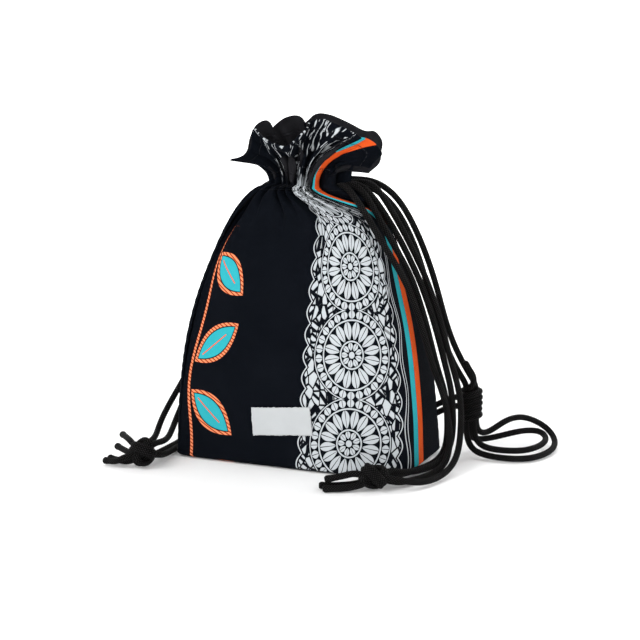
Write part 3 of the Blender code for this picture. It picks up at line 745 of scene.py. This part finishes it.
# Print, set out in metres of flat cloth. A leaning band of rosettes, one above the other, has
# combed pebbles round them and a scalloped edge. Wisps take its place above the neck.
BAND_MIDDLE, BAND_LEAN = 0.1590, 0.105
ROSETTE_EVERY, ROSETTE_START, ROSETTE_EYE, ROSETTE_EDGE = 0.0680, 0.006, 0.0026, 0.0362
ROSETTE_RINGS = ((0.0100, 0.0112), (0.0262, 0.0274), (0.0345, 0.0353))
ROSETTE_PETALS = ((9, 0.0036, 0.0096, 0.44), (16, 0.0118, 0.0258, 0.45), (26, 0.0280, 0.0341, 0.42))
PETAL_BULGE, PETAL_VEIN = 0.55, 0.035
PEBBLES, PEBBLE_SQUASH, PEBBLE_GAP, PLAIN_PEBBLES = 165.0, 0.62, 0.075, 0.62
COMB_LINES, COMB_SLANT = 620.0, 2400.0
WISP_LINES, WISP_SWIRL, SWIRLS, WISP_BREAKS = 950.0, 26.0, 70.0, 120.0
WISPS_FROM, WISPS_TO = 0.070, 0.236
SCALLOP, SCALLOP_DEPTH = 0.0170, 0.0042
BAND_EDGE, EDGE_LINE = 0.0395, (0.0410, 0.0421)
TRAILS, TRAIL_LINE, TRAIL_EVERY, TRAIL_SWING = (0.0500, 0.0540), 0.0011, 0.0520, 0.0024

# Also printed: two stripes beside the band, which bow a little, and at the left a stem of
# twisted rope with leaves, each of them on the other slant than the one below it.
STRIPE_BOW = 0.10
TURQUOISE_STRIPE, ORANGE_STRIPE = (0.0640, 0.0752), (0.0758, 0.0872)
LEAF_EVERY, LEAF_START, LEAF_OUT, LEAF_TILT = 0.0560, 0.014, 0.0330, math.radians(38)
LEAF_LENGTH, LEAF_WIDTH, LEAVES_END = 0.0245, 0.0112, 0.1930
LEAF_INSIDE, LEAF_RIM = 0.82, (0.91, 1.20)
STEM, STEM_SWAY = (0.0100, 0.0127), 0.0032
ROPE_ACROSS, ROPE_UP = 1100.0, 2150.0


def rosettes(tree, wander, v):
    """The rosettes' ink, and how far each place is from the middle of the nearest one."""
    add, less, times, divided, larger = sums(tree, "ADD", "SUBTRACT", "MULTIPLY", "DIVIDE", "MAXIMUM")
    cell = work(tree, "FLOORED_MODULO", add(v, ROSETTE_START), ROSETTE_EVERY)
    cell = less(cell, ROSETTE_EVERY / 2)
    radius = work(tree, "SQRT", add(times(wander, wander), times(cell, cell)))
    angle = divided(work(tree, "ARCTAN2", cell, wander), 2 * math.pi)
    ink = less(1.0, over(tree, radius, ROSETTE_EYE))
    for low, high in ROSETTE_RINGS:
        ink = larger(ink, between(tree, radius, low, high))
    for count, low, high, fill in ROSETTE_PETALS:
        turned = work(tree, "FLOORED_MODULO", times(angle, float(count)), 1.0)
        spoke = work(tree, "ABSOLUTE", less(turned, 0.5))
        share = work(tree, "MINIMUM", larger(divided(less(radius, low), high - low), 0.0), 1.0)
        swelling = work(tree, "POWER", work(tree, "SINE", times(share, math.pi)), PETAL_BULGE)
        petal = over(tree, times(swelling, fill), spoke, 0.02)
        ink = larger(ink, times(petal, over(tree, spoke, PETAL_VEIN, 0.01)))
    return ink, radius


def combed_pebbles(tree, wander, v, sheet):
    """Pebbles, most of them cut into fine slanting lines."""
    add, less, times, larger = sums(tree, "ADD", "SUBTRACT", "MULTIPLY", "MAXIMUM")
    edges = texture(tree, "ShaderNodeTexVoronoi", PEBBLES, sheet)
    edges.feature = "DISTANCE_TO_EDGE"
    whole = texture(tree, "ShaderNodeTexVoronoi", PEBBLES, sheet)
    chance = tree.nodes.new("ShaderNodeSeparateColor")
    tree.links.new(whole.outputs["Color"], chance.inputs[0])
    slant = times(times(v, less(chance.outputs[0], 0.5)), COMB_SLANT)
    comb = over(tree, work(tree, "SINE", add(times(wander, COMB_LINES), slant)), -0.25, 0.12)
    comb = larger(comb, over(tree, chance.outputs[1], PLAIN_PEBBLES, 0.01))
    return times(over(tree, edges.outputs["Distance"], PEBBLE_GAP, 0.02), comb)


def wisps(tree, wander, u, sheet):
    """Broken wavy lines, as the band's print shows when it is bunched in the ruffle."""
    add, times = sums(tree, "ADD", "MULTIPLY")
    swirl = texture(tree, "ShaderNodeTexNoise", SWIRLS, sheet).outputs[0]
    wisp = work(tree, "SINE", add(times(wander, WISP_LINES), times(swirl, WISP_SWIRL)))
    breaks = texture(tree, "ShaderNodeTexNoise", WISP_BREAKS, sheet).outputs[0]
    wisp = times(over(tree, wisp, 0.62, 0.2), over(tree, breaks, 0.50, 0.02))
    return times(wisp, between(tree, u, WISPS_FROM, WISPS_TO))


def white_ink(tree, wander, u, v):
    """All that is printed white: the band with its edge, the trails beside it, and the wisps."""
    add, less, times, larger = sums(tree, "ADD", "SUBTRACT", "MULTIPLY", "MAXIMUM")
    place = tree.nodes.new("ShaderNodeCombineXYZ")
    tree.links.new(wander, place.inputs[0])
    tree.links.new(times(v, PEBBLE_SQUASH), place.inputs[1])
    sheet = place.outputs[0]
    ink, radius = rosettes(tree, wander, v)
    ink = larger(ink, times(combed_pebbles(tree, wander, v, sheet), over(tree, radius, ROSETTE_EDGE)))
    scallop = times(work(tree, "ABSOLUTE", work(tree, "SINE", times(v, math.pi / SCALLOP))), SCALLOP_DEPTH)
    edge = less(work(tree, "ABSOLUTE", wander), scallop)
    ink = times(ink, less(1.0, over(tree, edge, BAND_EDGE)))
    ink = larger(ink, between(tree, edge, *EDGE_LINE))
    ink = times(ink, over(tree, v, 0.004))
    swing = times(work(tree, "SINE", times(v, 2 * math.pi / TRAIL_EVERY)), TRAIL_SWING)
    trail = less(wander, swing)
    for low in TRAILS:
        ink = larger(ink, between(tree, trail, low, low + TRAIL_LINE))
    above = over(tree, v, NECK_LINE + 0.004, 0.003)
    return add(times(ink, less(1.0, above)), times(wisps(tree, wander, u, sheet), above))


def leaves(tree, u, v):
    """The leaves' insides, their ribs, the rope round them and up their stem, and its twist."""
    add, less, times, divided, larger = sums(tree, "ADD", "SUBTRACT", "MULTIPLY", "DIVIDE", "MAXIMUM")
    climbed = less(v, LEAF_START)
    number = work(tree, "FLOOR", divided(climbed, LEAF_EVERY))
    flip = less(times(work(tree, "FLOORED_MODULO", number, 2.0), 2.0), 1.0)
    down = times(less(work(tree, "FLOORED_MODULO", climbed, LEAF_EVERY), LEAF_EVERY / 2), flip)
    out = less(u, LEAF_OUT)
    along = add(times(out, math.cos(LEAF_TILT)), times(down, math.sin(LEAF_TILT)))
    aside = less(times(down, math.cos(LEAF_TILT)), times(out, math.sin(LEAF_TILT)))
    bow = work(tree, "POWER", divided(along, LEAF_LENGTH), 2.0)
    leaf = add(divided(work(tree, "ABSOLUTE", aside), LEAF_WIDTH), bow)
    low = less(1.0, over(tree, v, LEAVES_END))
    inside = times(less(1.0, over(tree, leaf, LEAF_INSIDE, 0.01)), low)
    rib = times(between(tree, aside, -0.0005, 0.0005), between(tree, along, -0.017, 0.012))
    rim = times(between(tree, leaf, *LEAF_RIM, 0.01), low)
    sway = times(work(tree, "COSINE", times(climbed, math.pi / LEAF_EVERY)), STEM_SWAY)
    stem = times(between(tree, less(u, sway), *STEM), low)
    rope = larger(rim, stem)
    lay = add(times(u, ROPE_ACROSS), times(v, ROPE_UP))
    twist = times(rope, over(tree, work(tree, "SINE", lay), -0.35, 0.35))
    return inside, times(rib, low), rope, twist


def front_print(tree, u, v):
    """The front's inks: white, turquoise, orange, and the rope's dark and light strands."""
    less, times, larger = sums(tree, "SUBTRACT", "MULTIPLY", "MAXIMUM")
    wander = less(less(u, BAND_MIDDLE), times(v, BAND_LEAN))
    stripe = less(wander, times(times(v, v), STRIPE_BOW))
    inside, rib, rope, twist = leaves(tree, u, v)
    turquoise = larger(between(tree, stripe, *TURQUOISE_STRIPE), inside)
    orange = larger(between(tree, stripe, *ORANGE_STRIPE), rib)
    return white_ink(tree, wander, u, v), turquoise, orange, rope, twist


front_twill = twill_finish("printed_twill", NAVY, NAVY_HIGHLIGHT_AND_WEAR, SEWN, front_print)
back_twill = twill_finish("plain_twill", NAVY, NAVY_HIGHLIGHT_AND_WEAR, SEWN, None)
base_twill = twill_finish("base_twill", NAVY, NAVY_HIGHLIGHT_AND_WEAR, (), None)
lining = twill_finish("lining", LINING, LINING_HIGHLIGHT_AND_WEAR, SEWN, None)
front = sew_panel("front_cloth", front_places, front_twill, lining)
back = sew_panel("back_cloth", back_places, back_twill, lining)
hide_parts("front_panel")
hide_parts("back_panel")


# Base. One flat piece of the same cloth, sewn in between the feet of the two panels, with its
# edge at the inside of their rounded bottom.
BASE_LIFT, BASE_SEAM = 0.0016, 0.006
BASE_POINTS = 192
foot = wall_ring(np.linspace(0, 2, BASE_POINTS + 1)[:-1], 0.0, BOTTOM_ROUND)
bm = bmesh.new()
flat = bm.loops.layers.uv.verify()
edge = bmesh.ops.create_circle(bm, cap_ends=True, segments=len(foot), radius=1.0)["verts"]
for vert, place in zip(edge, foot):
    vert.co = Vector((place[0], place[1], BASE_LIFT))
bmesh.ops.inset_region(bm, faces=bm.faces, thickness=BASE_SEAM)
for vert in bm.verts:
    for loop in vert.link_loops:
        loop[flat].uv = vert.co.xy
base = add_piece("base_cloth", bm, base_twill)
doubled = base.modifiers.new("lined", "SOLIDIFY")
doubled.thickness = CLOTH
doubled.offset = -1.0
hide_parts("base_panel")


# Label. A strip of white woven tape, sewn flat to the lower front by its two short ends, with
# lettering left out. Its cut edges are a little ragged, and its ends curl off the cloth.
LABEL_WIDTH, LABEL_HEIGHT, LABEL_TAPE = 0.0545, 0.0222, 0.0006
LABEL_AT = (0.1016, 0.0405)
LABEL_TILT = math.radians(4.5)
LABEL_LIFT, LABEL_CURL, LABEL_RAGGED = 0.0011, 0.0004, 0.0006
# The tape's white, and the grey of its dirty patches and of the painted shade in the gaps between its
# threads.
LABEL_WHITE, LABEL_SHADE_AND_DIRT = (0.56, 0.58, 0.59), (0.42, 0.44, 0.45)
WEFT, WARP, TAPE_RELIEF = 0.0006, 0.0004, 0.00012


def on_front(u, v, lift):
    """The place on the front panel for a place on its flat cloth, lifted off its face."""
    column = u / PANEL_WIDTH * PANEL_COLUMNS
    row = float(np.interp(v, front_rows, np.arange(len(front_rows))))
    c, r = int(column), int(row)
    block = front_places[r:r + 2, c:c + 2]
    fc, fr = column - c, row - r
    lower = block[0, 0] * (1 - fc) + block[0, 1] * fc
    upper = block[1, 0] * (1 - fc) + block[1, 1] * fc
    place = lower * (1 - fr) + upper * fr
    out = np.cross(block[0, 1] - block[0, 0], block[1, 0] - block[0, 0])
    return Vector(place + out / np.linalg.norm(out) * lift)


tape, tree, shader = new_finish("label_tape", 0.85, sheen=0.2)
u, v, spot = places_on(tree)
threads = use_group(tree, crossed, First=work(tree, "DIVIDE", u, WEFT),
                    Second=work(tree, "DIVIDE", v, WARP), Lean=1.0)
rubbed = use_group(tree, handled, Place=spot, Size=90.0, Fibre=2600.0)
# The tape greys in dirty patches, which is real soiling, and in the gaps between its threads, which is
# painted shade.
tone = work(tree, "MULTIPLY", work(tree, "ADD", rubbed["Patch"], threads["Gap Shade"]), 0.5)
tree.links.new(blend_colour(tree, tone, LABEL_WHITE, LABEL_SHADE_AND_DIRT), shader["Base Color"])
tree.links.new(raised(tree, threads["Height"], TAPE_RELIEF), shader["Normal"])

bm = bmesh.new()
flat = bm.loops.layers.uv.verify()
bmesh.ops.create_grid(bm, x_segments=52, y_segments=22, size=0.5)
for vert in bm.verts:
    across, up = vert.co.x, vert.co.y
    ragged = noise.noise(Vector((across * 40, up * 40, 0.3))) * LABEL_RAGGED
    a = across * LABEL_WIDTH + (ragged if abs(across) > 0.49 else 0.0)
    b = up * LABEL_HEIGHT + (ragged if abs(up) > 0.49 else 0.0)
    curl = abs(2 * across) ** 6 * (0.5 + noise.noise(Vector((across * 9, up * 9, 1.7))))
    for loop in vert.link_loops:
        loop[flat].uv = (a, b)
    vert.co = on_front(LABEL_AT[0] + a * math.cos(LABEL_TILT) - b * math.sin(LABEL_TILT),
                       LABEL_AT[1] + a * math.sin(LABEL_TILT) + b * math.cos(LABEL_TILT),
                       LABEL_LIFT + LABEL_CURL * curl)
label = add_piece("label_tape", bm, tape)
backing = label.modifiers.new("woven", "SOLIDIFY")
backing.thickness = LABEL_TAPE
backing.offset = -1.0
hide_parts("label")


# Table. The pouch stands on white paper that curves up all round the set. The paper glows
# more the further off it is, up to a limit, so that it fades to plain white behind the pouch.
SWEEP_RADIUS, SWEEP_BEND, SWEEP_WALL = 3.0, 1.5, 2.0
BEND_STEPS = 12
PAPER_DROP = 0.0003
PAPER_WHITE = (0.94, 0.94, 0.94, 1.0)
GLOW_A_METRE, GLOW_LIMIT = 0.6, 0.66
bm = bmesh.new()
rim = bmesh.ops.create_circle(bm, cap_ends=True, segments=96, radius=SWEEP_RADIUS)["verts"]
edges = list(bm.edges)
for turn in range(1, BEND_STEPS + 2):
    grown = bmesh.ops.extrude_edge_only(bm, edges=edges)["geom"]
    edges = [item for item in grown if isinstance(item, bmesh.types.BMEdge)]
    bend = math.radians(90 / BEND_STEPS * min(turn, BEND_STEPS))
    for vert in [item for item in grown if isinstance(item, bmesh.types.BMVert)]:
        vert.co.xy = vert.co.xy.normalized() * (SWEEP_RADIUS + SWEEP_BEND * math.sin(bend))
        vert.co.z = SWEEP_BEND * (1 - math.cos(bend)) + (SWEEP_WALL if turn > BEND_STEPS else 0.0)
facing_out = [face for face in bm.faces if face.normal.dot(face.calc_center_median()) > 0.01]
bmesh.ops.reverse_faces(bm, faces=facing_out)
bmesh.ops.translate(bm, verts=bm.verts, vec=(0, 0, -PAPER_DROP))
sweep = bpy.data.meshes.new("paper_sweep")
bm.to_mesh(sweep)
bm.free()
sweep.shade_smooth()
paper = bpy.data.materials.new("white_paper")
paper.use_nodes = True
tree = paper.node_tree
shader = tree.nodes["Principled BSDF"].inputs
shader["Base Color"].default_value = PAPER_WHITE
shader["Roughness"].default_value = 0.9
shader["Specular IOR Level"].default_value = 0.0
shader["Emission Color"].default_value = (1.0, 1.0, 1.0, 1.0)
spot = tree.nodes.new("ShaderNodeTexCoord").outputs["Object"]
away = tree.nodes.new("ShaderNodeVectorMath")
away.operation = "LENGTH"
tree.links.new(spot, away.inputs[0])
glow = work(tree, "MULTIPLY", away.outputs["Value"], GLOW_A_METRE)
tree.links.new(work(tree, "MINIMUM", glow, GLOW_LIMIT), shader["Emission Strength"])
sweep.materials.append(paper)
table = bpy.data.objects.new("paper_sweep", sweep)
scene.collection.objects.link(table)


# Light. A broad soft light stands at the front left, a weak one at the right and one behind,
# under an even white sky, as in a small photo studio.
SKY_STRENGTH = 0.40
LIT_PLACE = Vector((0, 0, 0.12))
LAMPS = {
    "key_light": {"at": (-0.9, -1.3, 1.5), "size": 1.1, "power": 18.0},
    "side_light": {"at": (1.5, -0.6, 0.9), "size": 0.7, "power": 1.2},
    "back_light": {"at": (0.1, 1.3, 1.6), "size": 0.9, "power": 16.0},
}
sky = bpy.data.worlds.new("studio")
sky.use_nodes = True
sky.node_tree.nodes["Background"].inputs["Color"].default_value = (1.0, 1.0, 1.0, 1.0)
sky.node_tree.nodes["Background"].inputs["Strength"].default_value = SKY_STRENGTH
scene.world = sky
scene.view_settings.view_transform = "Standard"

for name, facts in LAMPS.items():
    lamp = bpy.data.lights.new(name, "AREA")
    lamp.size = facts["size"]
    lamp.energy = facts["power"]
    hung = bpy.data.objects.new(name, lamp)
    hung.location = facts["at"]
    hung.rotation_euler = (LIT_PLACE - hung.location).to_track_quat("-Z", "Y").to_euler()
    scene.collection.objects.link(hung)
